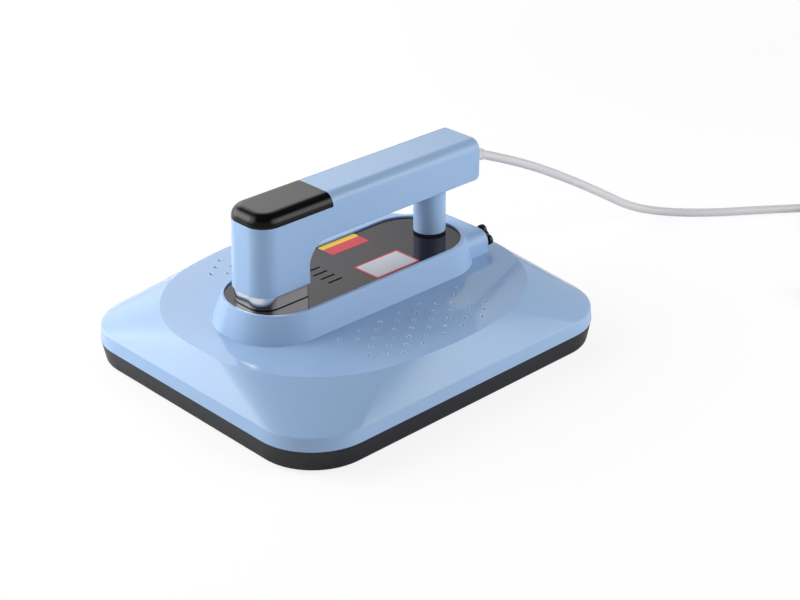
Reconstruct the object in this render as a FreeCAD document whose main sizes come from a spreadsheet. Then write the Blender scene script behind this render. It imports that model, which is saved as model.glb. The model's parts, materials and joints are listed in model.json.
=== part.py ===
import FreeCAD, Part
import math
import os
from types import SimpleNamespace

import Sketcher

# Hand-held flat heat press: a heating plate under a moulded cover, carried by a bar handle.
# Frame: +Z up, +X towards the cord, origin at the centre of the heating plate's lower face.
# All lengths are in millimetres, angles in degrees.

Vector = FreeCAD.Vector

SIZES = {
    # heating plate
    "plate_length": 304.8,
    "plate_width": 254.0,
    "plate_depth": 12.0,
    "plate_corner": 24.0,
    "plate_edge": 2.0,
    "plate_stand": 2.0,
    "plate_boss_radius": 7.0,
    "plate_boss_rise": 6.0,
    "plate_boss_inset": 14.5,
    "plate_boss_y": 34.0,
    # tubular element in its groove
    "element_radius": 3.3,
    "element_clearance": 0.2,
    "element_half_x": 114.5,
    "element_half_y": 88.5,
    "element_corner": 26.0,
    "element_gap": 15.0,
    "terminal_radius": 2.0,
    "terminal_height": 24.0,
    # base skirt
    "skirt_height": 19.0,
    "skirt_draft": 10.4,
    "skirt_wall": 3.0,
    "skirt_floor": 4.0,
    "plate_gap": 1.6,
    # cover
    "skirt_margin_x": 27.6,
    "skirt_margin_y": 27.0,
    "cover_corner": 55.3,
    "cover_wall": 2.8,
    "rim_height": 11.5,
    "rim_draft": 6.0,
    "rim_round": 1.6,
    "roof_rise": 23.8,
    "plateau_inset_front": 18.0,
    "plateau_inset_rear": 21.6,
    "plateau_inset_y": 17.7,
    "plateau_side_radius": 308.0,
    "plateau_end_radius": 320.0,
    "plateau_corner_radius": 117.0,
    # perforations of the plateau
    "vent_radius": 1.4,
    "vent_pitch_x": 22.73,
    "vent_pitch_y": 17.28,
    "vent_first_y": 67.2,
    # centre housing on the plateau
    "housing_front": 132.3,
    "housing_rear": 129.3,
    "housing_half_width": 51.8,
    "housing_corner": 47.5,
    "housing_height": 23.7,
    "housing_top_front": 123.3,
    "housing_top_rear": 123.3,
    "housing_top_half_width": 45.8,
    "housing_top_corner": 42.5,
    "housing_round": 0.8,
    "housing_rim": 2.6,
    "housing_front_rim": 2.0,
    "housing_rear_rim": 4.6,
    "deck_ledge": 4.0,
    # rear block and its knob
    "block_rear": 138.6,
    "block_half_width": 35.5,
    "block_height": 20.0,
    "block_round": 11.0,
    "block_edge": 0.8,
    "knob_y": -26.5,
    "knob_drop": 8.5,
    "knob_radius": 6.8,
    "knob_lobe_radius": 4.8,
    "knob_lobe_reach": 6.2,
    "knob_lobes": 3,
    "knob_turned": 73.3,
    "knob_depth": 3.2,
    "knob_gap": 0.9,
    "stud_radius": 3.0,
    "stud_length": 17.0,
    "thread_clearance": 0.06,
    "insert_radius": 4.4,
    "insert_length": 12.0,
    "pad_radius": 2.7,
    "pad_length": 2.4,
    # deck
    "deck_sink": 1.6,
    "deck_thickness": 2.0,
    "deck_clearance": 0.3,
    "slot_length": 15.4,
    "slot_width": 2.2,
    "slot_rear": 21.0,
    "slot_first_y": -16.8,
    "slot_pitch": 9.5,
    "slot_count": 4,
    # collar under the column
    "collar_height": 11.9,
    "collar_inset": 1.4,
    "collar_wall": 2.0,
    # handle
    "handle_front_low": 115.0,
    "handle_front_high": 111.8,
    "column_rear": 62.0,
    "handle_half_width": 25.1,
    "handle_wall": 2.6,
    "nose_radius": 18.0,
    "handle_top_round": 10.0,
    "handle_edge": 2.0,
    "column_foot_round": 0.6,
    "crook_radius": 20.0,
    "heel_radius": 5.0,
    "grip_gap": 46.0,
    "bar_height": 37.6,
    "bar_rear": 136.9,
    "bar_ceiling": 6.0,
    "underside_wall": 3.0,
    "underside_front": 35.8,
    "underside_rear": 127.8,
    "underside_half_width": 18.8,
    "underside_corner": 5.0,
    "underside_gap": 0.2,
    "column_rib_height": 100.0,
    "column_rib": 4.0,
    "wire_way_radius": 8.0,
    # display cap
    "cap_depth": 11.0,
    "cap_rear": 36.0,
    "cap_seam": 0.2,
    "cap_half_room": 18.5,
    "cap_ceiling": 3.0,
    # rear post and its tie bolt
    "post_x": 99.0,
    "post_radius": 14.55,
    "post_wall": 2.5,
    "post_web": 4.0,
    "post_seat_height": 2.2,
    "post_seat_inset": 0.5,
    "bolt_radius": 3.0,
    "bolt_clearance": 0.4,
    "nut_radius": 5.5,
    "nut_height": 5.0,
    "washer_radius": 8.0,
    "washer_height": 1.5,
    # frame between plate, cover and handle
    "frame_margin": 10.5,
    "frame_width": 136.0,
    "frame_corner": 14.0,
    "frame_sheet": 2.0,
    "frame_level": 25.0,
    "standoff_radius": 5.0,
    "blanket_inset": 8.0,
    "blanket_depth": 6.6,
    "blanket_corner": 20.0,
    "shield_inset": 4.0,
    "shield_sheet": 0.8,
    "layer_gap": 0.3,
    "cover_boss_x": 60.0,
    "cover_boss_y": 57.5,
    "cover_boss_radius": 5.0,
    "screw_radius": 2.0,
    "screw_head_radius": 3.8,
    "screw_head_height": 2.2,
    "screw_bite": 10.0,
    "screw_clearance": 0.3,
    # bracket inside the column
    "bracket_front": 104.0,
    "bracket_rear": 72.0,
    "bracket_half_width": 16.5,
    "bracket_sheet": 2.0,
    "bracket_foot": 12.0,
    # skirt fixings
    "pillar_radius": 4.0,
    "pillar_inset_x": 9.0,
    "pillar_inset_y": 9.0,
    "pillar_side_x": 75.0,
    "pillar_end_y": 72.0,
    "pillar_rise": 9.0,
    # electronics
    "board_thickness": 1.6,
    "display_board_front": 104.0,
    "display_board_rear": 46.0,
    "display_board_half_width": 17.0,
    "display_board_rise": 1.0,
    "display_post_radius": 1.8,
    "display_height": 5.0,
    "display_half_length": 14.0,
    "display_half_width": 8.0,
    "key_radius": 3.0,
    "control_board_front": 18.0,
    "control_board_rear": 78.0,
    "control_board_half_width": 16.0,
    "control_board_rise": 6.0,
    "sensor_radius": 3.0,
    "sensor_spread": 7.0,
    "sensor_height": 6.0,
    "cutoff_radius": 7.5,
    "cutoff_height": 5.6,
    "wire_radius": 1.2,
    # supply cord
    "cord_radius": 4.2,
    "boot_length": 30.0,
    "boot_drop_angle": 23.0,
    "boot_root_radius": 8.0,
    "boot_neck_radius": 6.0,
    "boot_drop": 23.8,
    "coil_mean_radius": 43.5,
    "coil_half_band": 12.6,
    "coil_height": 15.8,
    "coil_x": 528.0,
    "coil_y": -180.0,
    "plug_length": 30.0,
    "plug_width": 26.0,
    "plug_height": 22.0,
    "plug_tail": 14.0,
    "plug_x": 388.0,
    "plug_y": -243.0,
    "plug_taper": 3.5,
    "blade_length": 17.0,
    "blade_sheet": 1.6,
}

doc = FreeCAD.newDocument("HeatPress")
sheet = doc.addObject("Spreadsheet::Sheet", "Sizes")


class Size:
    """A number together with the spreadsheet expression that gives it."""

    def __init__(self, value, text):
        self.value = value
        self.text = text

    def __add__(self, other):
        other = as_size(other)
        return Size(self.value + other.value, f"({self.text} + {other.text})")

    def __sub__(self, other):
        other = as_size(other)
        return Size(self.value - other.value, f"({self.text} - {other.text})")

    def __mul__(self, other):
        other = as_size(other)
        return Size(self.value * other.value, f"{self.text} * {other.text}")

    def __truediv__(self, other):
        other = as_size(other)
        return Size(self.value / other.value, f"{self.text} / {other.text}")

    def __radd__(self, other):
        return as_size(other) + self

    def __rsub__(self, other):
        return as_size(other) - self

    def __rmul__(self, other):
        return as_size(other) * self

    def __neg__(self):
        return Size(-self.value, f"(0 - {self.text})")


def as_size(number):
    return number if isinstance(number, Size) else Size(float(number), f"({float(number)!r})")


def fill_sheet():
    """Writes the driving dimensions into the sheet and returns them as named Size values."""
    named = {}
    for row, (alias, value) in enumerate(SIZES.items(), start=1):
        sheet.set(f"A{row}", alias)
        sheet.set(f"B{row}", str(value))
        sheet.setAlias(f"B{row}", alias)
        named[alias] = Size(value, f"Sizes.{alias}")
    doc.recompute()
    return SimpleNamespace(**named)


s = fill_sheet()

# The skirt and the cover leave a margin round the heating plate; the plateau is set in from them.
cover_half_x = s.plate_length / 2 + s.skirt_margin_x
cover_half_y = s.plate_width / 2 + s.skirt_margin_y
plateau_half_x = cover_half_x - (s.plateau_inset_front + s.plateau_inset_rear) / 2
plateau_middle = (s.plateau_inset_front - s.plateau_inset_rear) / 2
plateau_half_y = cover_half_y - s.plateau_inset_y

# The frame reaches past the element's terminals, and the plate's bosses stay inside the element.
plate_boss_x = s.element_half_x - s.plate_boss_inset
frame_half_x = s.element_half_x + s.frame_margin

# Levels above the face that the press rests on.
cover_base = s.plate_stand + s.skirt_height
rim_top = cover_base + s.rim_height
plateau = rim_top + s.roof_rise
plateau_under = plateau - s.cover_wall
housing_top = plateau + s.housing_height
deck_top = housing_top - s.deck_sink
deck_under = deck_top - s.deck_thickness
collar_top = deck_top + s.collar_height
post_foot = deck_top + s.post_seat_height
bar_under = deck_top + s.grip_gap
bar_top = bar_under + s.bar_height
bar_floor = bar_under + s.handle_wall
cap_base = bar_top - s.cap_depth
block_top = plateau + s.block_height
knob_level = block_top - s.knob_drop
boss_top = s.plate_depth + s.plate_boss_rise
frame_top = s.frame_level + s.frame_sheet
column_inner_half = s.handle_half_width - s.handle_wall
boot_level = bar_top - s.boot_drop
display_board_top = cap_base + s.display_board_rise + s.board_thickness

NODES = []


# ---------------------------------------------------------------- helpers

def body(label, z=None):
    """A PartDesign body that becomes one node; z is the level of its own XY plane."""
    part = doc.addObject("PartDesign::Body", label)
    part.Label = label
    part.AllowCompound = True
    if z is not None:
        part.setExpression("Placement.Base.z", z.text)
    NODES.append(part)
    return part


def sketch(part, name, plane="XY", level=None):
    """A sketch on one of the body's own origin planes, moved along its normal by level."""
    view = part.newObject("Sketcher::SketchObject", name)
    support = [f for f in part.Origin.OriginFeatures if f.Role == plane + "_Plane"][0]
    view.AttachmentSupport = [(support, "")]
    view.MapMode = "FlatFace"
    if level is not None:
        view.setExpression("AttachmentOffset.Base.z", level.text)
    return view


def place(view, geometry, point, x, y):
    """Fixes one point of a sketch at x, y from the sketch's origin."""
    for kind, axis, size in (("DistanceX", -2, as_size(x)), ("DistanceY", -1, as_size(y))):
        if abs(size.value) < 1e-9:
            view.addConstraint(Sketcher.Constraint("PointOnObject", geometry, point, axis))
        elif size.value > 0:
            rule = Sketcher.Constraint(kind, -1, 1, geometry, point, size.value)
            view.setExpression(f"Constraints[{view.addConstraint(rule)}]", size.text)
        else:
            rule = Sketcher.Constraint(kind, geometry, point, -1, 1, -size.value)
            view.setExpression(f"Constraints[{view.addConstraint(rule)}]", (-size).text)


def circle(view, x, y, radius):
    centre = Vector(as_size(x).value, as_size(y).value, 0)
    ring = view.addGeometry(Part.Circle(centre, Vector(0, 0, 1), radius.value), False)
    place(view, ring, 3, x, y)
    rule = Sketcher.Constraint("Radius", ring, radius.value)
    view.setExpression(f"Constraints[{view.addConstraint(rule)}]", radius.text)


def outline(view, corners):
    """A closed outline through corners (x, y) or (x, y, radius), each fixed where its sides meet."""
    count = len(corners)
    spots = [Vector(as_size(c[0]).value, as_size(c[1]).value, 0) for c in corners]
    trims = []
    for i, spot in enumerate(spots):
        before = (spots[i - 1] - spot).normalize()
        after = (spots[(i + 1) % count] - spot).normalize()
        if len(corners[i]) == 3:
            half = before.getAngle(after) / 2
            reach = corners[i][2].value / math.tan(half)
            middle = spot + (before + after).normalize() * (corners[i][2].value / math.sin(half))
            trims.append((spot + before * reach, middle, spot + after * reach))
        else:
            trims.append((spot, None, spot))
    lines = []
    for i in range(count):
        side = Part.LineSegment(trims[i][2], trims[(i + 1) % count][0])
        lines.append(view.addGeometry(side, False))
    for i, corner in enumerate(corners):
        arriving, leaving = lines[i - 1], lines[i]
        if len(corner) == 2:
            view.addConstraint(Sketcher.Constraint("Coincident", arriving, 2, leaving, 1))
            place(view, leaving, 1, corner[0], corner[1])
            continue
        start, middle, end = trims[i]
        radius = corner[2]
        turn = (spots[i] - spots[i - 1]).cross(spots[(i + 1) % count] - spots[i]).z
        first = math.atan2(start.y - middle.y, start.x - middle.x)
        last = math.atan2(end.y - middle.y, end.x - middle.x)
        ring = Part.Circle(middle, Vector(0, 0, 1), radius.value)
        if turn > 0:
            arc = view.addGeometry(Part.ArcOfCircle(ring, first, last), False)
            near, far = 1, 2
        else:
            arc = view.addGeometry(Part.ArcOfCircle(ring, last, first), False)
            near, far = 2, 1
        view.addConstraint(Sketcher.Constraint("Tangent", arriving, 2, arc, near))
        view.addConstraint(Sketcher.Constraint("Tangent", leaving, 1, arc, far))
        rule = Sketcher.Constraint("Radius", arc, radius.value)
        view.setExpression(f"Constraints[{view.addConstraint(rule)}]", radius.text)
        apex = view.addGeometry(Part.Point(spots[i]), True)
        place(view, apex, 1, corner[0], corner[1])
        view.addConstraint(Sketcher.Constraint("PointOnObject", apex, 1, arriving))
        view.addConstraint(Sketcher.Constraint("PointOnObject", apex, 1, leaving))


def rectangle(view, x_low, x_high, y_low, y_high, radius=None):
    """A rectangle between the four sides, with rounded corners if a radius is given."""
    corners = [(x_low, y_low), (x_high, y_low), (x_high, y_high), (x_low, y_high)]
    outline(view, corners if radius is None else [corner + (radius,) for corner in corners])


def block(view, half_x, half_y, radius=None):
    """A rectangle centred on the origin."""
    rectangle(view, -half_x, half_x, -half_y, half_y, radius)


def oval(view, middle, half_x, half_y, side_radius, end_radius, corner_radius):
    """A closed oval about x = middle, of tangent arcs: two flat sides, two flat ends, four corners."""
    side_y = half_y.value - side_radius.value
    end_x = half_x.value - end_radius.value
    span = math.hypot(end_x, side_y)
    reach_side = side_radius.value - corner_radius.value
    reach_end = end_radius.value - corner_radius.value
    along = (reach_side ** 2 - reach_end ** 2 + span ** 2) / (2 * span)
    across = math.sqrt(reach_side ** 2 - along ** 2)
    unit = Vector(end_x / span, -side_y / span, 0)
    hub = Vector(0, side_y, 0) + unit * along + Vector(-unit.y, unit.x, 0) * across
    if hub.x < 0 or hub.y < 0:
        hub = Vector(0, side_y, 0) + unit * along - Vector(-unit.y, unit.x, 0) * across
    to_side = math.degrees(math.atan2(hub.y - side_y, hub.x))
    to_end = math.degrees(math.atan2(hub.y, hub.x - end_x))
    normal = Vector(0, 0, 1)

    def arc(x, y, radius, first, last):
        ring = Part.Circle(Vector(middle.value + x, y, 0), normal, radius)
        piece = Part.ArcOfCircle(ring, math.radians(first), math.radians(last))
        return view.addGeometry(piece, False)

    corner = corner_radius.value
    arcs = [
        arc(end_x, 0, end_radius.value, -to_end, to_end),
        arc(hub.x, hub.y, corner, to_end, to_side),
        arc(0, side_y, side_radius.value, to_side, 180 - to_side),
        arc(-hub.x, hub.y, corner, 180 - to_side, 180 - to_end),
        arc(-end_x, 0, end_radius.value, 180 - to_end, 180 + to_end),
        arc(-hub.x, -hub.y, corner, 180 + to_end, 180 + to_side),
        arc(0, -side_y, side_radius.value, 180 + to_side, 360 - to_side),
        arc(hub.x, -hub.y, corner, 360 - to_side, 360 - to_end),
    ]
    for i in range(8):
        view.addConstraint(Sketcher.Constraint("Tangent", arcs[i], 2, arcs[(i + 1) % 8], 1))
    place(view, arcs[0], 3, middle + half_x - end_radius, 0)
    place(view, arcs[4], 3, middle - half_x + end_radius, 0)
    place(view, arcs[2], 3, middle, half_y - side_radius)
    place(view, arcs[6], 3, middle, side_radius - half_y)
    radii = [(0, end_radius), (4, end_radius), (2, side_radius), (6, side_radius)]
    radii += [(i, corner_radius) for i in (1, 3, 5, 7)]
    for i, radius in radii:
        rule = Sketcher.Constraint("Radius", arcs[i], radius.value)
        view.setExpression(f"Constraints[{view.addConstraint(rule)}]", radius.text)


def pad(part, view, length, taper=None, down=False, midplane=False):
    feature = part.newObject("PartDesign::Pad", view.Name + "_pad")
    feature.Profile = view
    feature.setExpression("Length", length.text)
    feature.Reversed = down
    feature.Midplane = midplane
    if taper is not None:
        feature.setExpression("TaperAngle", taper.text)
    view.Visibility = False
    return feature


def pocket(part, view, depth=None, up=False, midplane=False):
    """Cuts along the sketch's normal, against it unless up is set; through all without a depth."""
    feature = part.newObject("PartDesign::Pocket", view.Name + "_pocket")
    feature.Profile = view
    if depth is None:
        feature.Type = "ThroughAll"
    else:
        feature.setExpression("Length", depth.text)
    feature.Reversed = up
    feature.Midplane = midplane
    return feature


def loft(part, kind, views):
    feature = part.newObject(f"PartDesign::{kind}Loft", views[0].Name + "_loft")
    feature.Profile = views[0]
    feature.Sections = views[1:]
    feature.Ruled = True
    return feature


def fillet(part, wanted, radius, kind="Fillet"):
    """Rounds the edges for which wanted(edge) is true."""
    doc.recompute()
    tip = part.Tip
    edges = [f"Edge{i}" for i, edge in enumerate(tip.Shape.Edges, start=1) if wanted(edge)]
    feature = part.newObject(f"PartDesign::{kind}", f"{part.Name}_{kind.lower()}")
    feature.Base = (tip, edges)
    feature.setExpression("Radius" if kind == "Fillet" else "Size", radius.text)
    doc.recompute()
    return feature


def all_points(edge, test):
    """Whether test holds at both ends and in the middle of an edge."""
    first, last = edge.ParameterRange
    return all(test(edge.valueAt(first + (last - first) * t)) for t in (0.0, 0.5, 1.0))


def near(a, b, slack=0.05):
    return abs(a - (b.value if isinstance(b, Size) else b)) < slack


def cylinder(name, radius, height, x, y, z, axis="Z"):
    """A cylinder from x, y, z along +Z, +X or +Y, its sizes and place bound to the sheet."""
    rod = doc.addObject("Part::Cylinder", name)
    rod.setExpression("Radius", as_size(radius).text)
    rod.setExpression("Height", as_size(height).text)
    turns = {
        "Z": FreeCAD.Rotation(),
        "X": FreeCAD.Rotation(Vector(0, 1, 0), 90),
        "Y": FreeCAD.Rotation(Vector(1, 0, 0), -90),
    }
    rod.Placement = FreeCAD.Placement(Vector(), turns[axis])
    for coordinate, size in zip("xyz", (x, y, z)):
        rod.setExpression(f"Placement.Base.{coordinate}", as_size(size).text)
    return rod


def box(name, x_low, x_high, y_low, y_high, z_low, z_high):
    """A box between six bound planes."""
    brick = doc.addObject("Part::Box", name)
    sides = zip(("Length", "Width", "Height"), "xyz", ((x_low, x_high), (y_low, y_high), (z_low, z_high)))
    for edge, coordinate, (low, high) in sides:
        brick.setExpression(edge, (as_size(high) - low).text)
        brick.setExpression(f"Placement.Base.{coordinate}", as_size(low).text)
    return brick


def group(label, pieces, kind="Part::MultiFuse"):
    """One node made of primitives, which may be separate solids; a lone one is the node itself."""
    if len(pieces) == 1:
        node = pieces[0]
    else:
        node = doc.addObject(kind, label)
        node.Shapes = pieces
    node.Label = label
    NODES.append(node)
    return node


def cut(label, base, tool):
    node = doc.addObject("Part::Cut", label)
    node.Label = label
    node.Base = base
    node.Tool = tool
    NODES.append(node)
    return node


def shape_node(label, shape):
    """A node whose shape is made directly, for forms that no feature or primitive gives."""
    node = doc.addObject("Part::Feature", label)
    node.Label = label
    node.Shape = shape
    node.Placement = FreeCAD.Placement()
    NODES.append(node)
    return node


def screws(label, places, head_z, length, up=True):
    """Pan-head screws along Z: each place is (x, y); the head's outer face is at head_z."""
    pieces = []
    for i, (x, y) in enumerate(places):
        tip_z = head_z + length if up else head_z - length
        low, high = (head_z, tip_z) if up else (tip_z, head_z)
        head_low = head_z if up else head_z - s.screw_head_height
        pieces.append(cylinder(f"{label}_shank{i}", s.screw_radius, high - low, x, y, low))
        pieces.append(
            cylinder(f"{label}_head{i}", s.screw_head_radius, s.screw_head_height, x, y, head_low)
        )
    return group(label, pieces)


def four_ways(x, y):
    return [(x, y), (x, -y), (-x, y), (-x, -y)]


pillar_x = cover_half_x - s.pillar_inset_x
pillar_y = cover_half_y - s.pillar_inset_y
PILLARS = four_ways(pillar_x, s.pillar_end_y) + four_ways(s.pillar_side_x, pillar_y)
PLATE_BOSSES = four_ways(plate_boss_x, s.plate_boss_y)
COVER_BOSSES = four_ways(s.cover_boss_x, s.cover_boss_y)
terminal_y = s.element_gap + s.element_radius
TERMINALS = (-terminal_y, terminal_y)
rib_middle = (s.handle_front_high + s.column_rear) / 2
rib_screw_y = s.wire_way_radius + s.screw_head_radius
RIB_SCREWS = [(-rib_middle, rib_screw_y), (-rib_middle, -rib_screw_y)]
foot_y = s.bracket_half_width + s.bracket_foot / 2
FOOT_SCREWS = [(-rib_middle, foot_y), (-rib_middle, -foot_y)]
underside_end = s.underside_corner + s.screw_head_radius
underside_side = s.underside_half_width - s.underside_corner
display_middle = (s.display_board_front + s.display_board_rear) / 2
display_post_reach = (s.display_board_front - s.display_board_rear) / 2 - 4 * s.display_post_radius
display_post_side = s.display_board_half_width - 2 * s.display_post_radius
DISPLAY_POSTS = [
    (-display_middle + side * display_post_reach, y)
    for side in (-1, 1)
    for y in (-display_post_side, display_post_side)
]
UNDERSIDE_SCREWS = [
    (-s.underside_front + underside_end, underside_side),
    (-s.underside_front + underside_end, -underside_side),
    (s.underside_rear - underside_end, underside_side),
    (s.underside_rear - underside_end, -underside_side),
]


# ---------------------------------------------------------------- heated stack

def heating_plate():
    plate = body("heating_plate")
    face = sketch(plate, "plate_face")
    block(face, s.plate_length / 2, s.plate_width / 2, s.plate_corner)
    pad(plate, face, s.plate_depth)
    fillet(plate, lambda e: all_points(e, lambda p: near(p.z, 0)), s.plate_edge)
    bosses = sketch(plate, "plate_bosses", level=s.plate_depth)
    for x, y in PLATE_BOSSES:
        circle(bosses, x, y, s.plate_boss_radius)
    pad(plate, bosses, s.plate_boss_rise)
    groove = sketch(plate, "element_groove", level=s.plate_depth)
    reach = s.element_radius + s.element_clearance
    block(groove, s.element_half_x + reach, s.element_half_y + reach, s.element_corner + reach)
    block(groove, s.element_half_x - reach, s.element_half_y - reach, s.element_corner - reach)
    pocket(plate, groove, 2 * reach)
    taps = sketch(plate, "boss_taps", level=boss_top)
    for x, y in PLATE_BOSSES:
        circle(taps, x, y, s.screw_radius)
    pocket(plate, taps, s.screw_bite)


def heating_element():
    """A tubular element that follows the groove and leaves a gap at the front for its ends."""
    element = body("heating_element")
    level = s.plate_depth - s.element_radius - 2 * s.element_clearance
    path = sketch(element, "element_path", level=level)
    half_x, half_y = s.element_half_x.value, s.element_half_y.value
    corner, gap = s.element_corner.value, s.element_gap.value
    spots = [
        Vector(-half_x, -gap, 0),
        Vector(-half_x, -half_y + corner, 0),
        Vector(-half_x + corner, -half_y, 0),
        Vector(half_x - corner, -half_y, 0),
        Vector(half_x, -half_y + corner, 0),
        Vector(half_x, half_y - corner, 0),
        Vector(half_x - corner, half_y, 0),
        Vector(-half_x + corner, half_y, 0),
        Vector(-half_x, half_y - corner, 0),
        Vector(-half_x, gap, 0),
    ]
    lines = [view_line(path, spots[i], spots[i + 1]) for i in (0, 2, 4, 6, 8)]
    hubs = [(-1, -1, 180), (1, -1, 270), (1, 1, 0), (-1, 1, 90)]
    for i, (side_x, side_y, first) in enumerate(hubs):
        middle = Vector(side_x * (half_x - corner), side_y * (half_y - corner), 0)
        ring = Part.Circle(middle, Vector(0, 0, 1), corner)
        piece = Part.ArcOfCircle(ring, math.radians(first), math.radians(first + 90))
        arc = path.addGeometry(piece, False)
        path.addConstraint(Sketcher.Constraint("Tangent", lines[i], 2, arc, 1))
        path.addConstraint(Sketcher.Constraint("Tangent", arc, 2, lines[i + 1], 1))
        rule = Sketcher.Constraint("Radius", arc, corner)
        path.setExpression(f"Constraints[{path.addConstraint(rule)}]", s.element_corner.text)
    place(path, lines[0], 1, -s.element_half_x, -s.element_gap)
    place(path, lines[4], 2, -s.element_half_x, s.element_gap)
    for line, direction in zip(lines, ("Vertical", "Horizontal") * 2):
        path.addConstraint(Sketcher.Constraint(direction, line))
    far = Sketcher.Constraint("DistanceX", -1, 1, lines[2], 1, half_x)
    path.setExpression(f"Constraints[{path.addConstraint(far)}]", s.element_half_x.text)
    low = Sketcher.Constraint("DistanceY", lines[1], 1, -1, 1, half_y)
    path.setExpression(f"Constraints[{path.addConstraint(low)}]", s.element_half_y.text)
    high = Sketcher.Constraint("DistanceY", -1, 1, lines[3], 1, half_y)
    path.setExpression(f"Constraints[{path.addConstraint(high)}]", s.element_half_y.text)
    section = sketch(element, "element_section", "XZ", level=s.element_gap)
    circle(section, -s.element_half_x, level, s.element_radius)
    pipe = element.newObject("PartDesign::AdditivePipe", "element_tube")
    pipe.Profile = section
    pipe.Spine = path


def view_line(view, start, end):
    return view.addGeometry(Part.LineSegment(start, end), False)


def element_terminals():
    """Two cold pins that rise from the element's ends, each with a flat tab."""
    level = s.plate_depth - 2 * s.element_clearance
    pieces = []
    for i, y in enumerate(TERMINALS):
        x = -s.element_half_x
        pin = cylinder(f"terminal_pin{i}", s.terminal_radius, s.terminal_height, x, y, level)
        tab_base = level + s.terminal_height
        tab = box(
            f"terminal_tab{i}",
            x - s.terminal_radius, x + s.terminal_radius,
            y - s.bolt_clearance, y + s.bolt_clearance,
            tab_base, tab_base + s.sensor_height,
        )
        pieces += [pin, tab]
    group("element_terminals", pieces)


def pierced_sheet(label, half_x, half_y, corner, level, thickness, holes):
    """A flat layer with round holes: holes is a list of (x, y, radius)."""
    layer = body(label)
    face = sketch(layer, label + "_face", level=level)
    block(face, half_x, half_y, corner)
    for x, y, radius in holes:
        circle(face, x, y, radius)
    pad(layer, face, thickness)
    return layer


def insulation():
    """The blanket lies on the plate and carries the shield; both are cut out for what passes."""
    around = s.plate_boss_radius + s.layer_gap
    holes = [(x, y, around) for x, y in PLATE_BOSSES]
    ends = [(-s.element_half_x, y, s.terminal_radius * 2) for y in TERMINALS]
    pockets = [(-rib_middle - s.sensor_spread, 0, s.sensor_radius + s.layer_gap)]
    pockets += [(-rib_middle + s.sensor_spread, 0, s.cutoff_radius + s.layer_gap)]
    pierced_sheet(
        "insulation_blanket",
        s.plate_length / 2 - s.blanket_inset, s.plate_width / 2 - s.blanket_inset, s.blanket_corner,
        s.plate_depth, s.blanket_depth, holes + ends + pockets,
    )
    standoffs = [(x, y, s.standoff_radius + s.layer_gap) for x, y in PLATE_BOSSES]
    level = s.plate_depth + s.blanket_depth
    shield = pierced_sheet(
        "heat_shield",
        s.plate_length / 2 - s.shield_inset, s.plate_width / 2 - s.shield_inset, s.blanket_corner,
        level, s.shield_sheet, standoffs + ends,
    )
    wire_window(shield, "shield_window", level + s.shield_sheet, s.shield_sheet)


def wire_window(part, name, level, depth):
    """The rounded window under the column through which the leads rise."""
    window = sketch(part, name, level=level)
    rectangle(
        window,
        -s.bracket_front + s.bracket_sheet, -s.bracket_rear - s.bracket_sheet,
        -s.wire_way_radius, s.wire_way_radius, s.bracket_sheet,
    )
    pocket(part, window, depth)


def standoffs():
    height = s.frame_level - boss_top
    pieces = []
    for i, (x, y) in enumerate(PLATE_BOSSES):
        pieces.append(cylinder(f"standoff{i}", s.standoff_radius, height, x, y, boss_top))
    solid = doc.addObject("Part::MultiFuse", "standoff_blanks")
    solid.Shapes = pieces
    bores = []
    for i, (x, y) in enumerate(PLATE_BOSSES):
        radius = s.screw_radius + s.screw_clearance
        bores.append(cylinder(f"standoff_bore{i}", radius, height, x, y, boss_top))
    drills = doc.addObject("Part::MultiFuse", "standoff_bores")
    drills.Shapes = bores
    cut("standoffs", solid, drills)


def sensors():
    """The sensor and the thermal cutoff stand on the plate's upper face, under the column."""
    level = s.plate_depth
    front, rear = -rib_middle - s.sensor_spread, -rib_middle + s.sensor_spread
    probe = cylinder("probe", s.sensor_radius, s.sensor_height, front, 0, level)
    group("temperature_sensor", [probe])
    disc = cylinder("cutoff_disc", s.cutoff_radius, s.cutoff_height, rear, 0, level)
    neck = cylinder("cutoff_neck", s.sensor_radius, s.sensor_height, rear, 0, level)
    group("thermal_cutoff", [disc, neck])


def mounting_frame():
    """A folded steel plate that joins heating plate, cover and handle."""
    frame = body("mounting_frame")
    face = sketch(frame, "frame_face", level=s.frame_level)
    block(face, frame_half_x, s.frame_width / 2, s.frame_corner)
    fit = s.screw_radius + s.screw_clearance
    for x, y in PLATE_BOSSES + COVER_BOSSES:
        circle(face, x, y, fit)
    for x, y in FOOT_SCREWS:
        circle(face, x, y, fit)
    for y in TERMINALS:
        circle(face, -s.element_half_x, y, s.terminal_radius * 2)
    circle(face, s.post_x, 0, s.bolt_radius + s.bolt_clearance)
    pad(frame, face, s.frame_sheet)
    lips = sketch(frame, "frame_lips", level=s.frame_level)
    edge = s.frame_width / 2
    reach = frame_half_x - s.frame_corner
    for low, high in ((edge - s.frame_sheet, edge), (-edge, s.frame_sheet - edge)):
        rectangle(lips, -reach, reach, low, high)
    pad(frame, lips, 4 * s.frame_sheet)
    wire_window(frame, "frame_window", frame_top, s.frame_sheet)


# ---------------------------------------------------------------- base and cover

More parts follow.
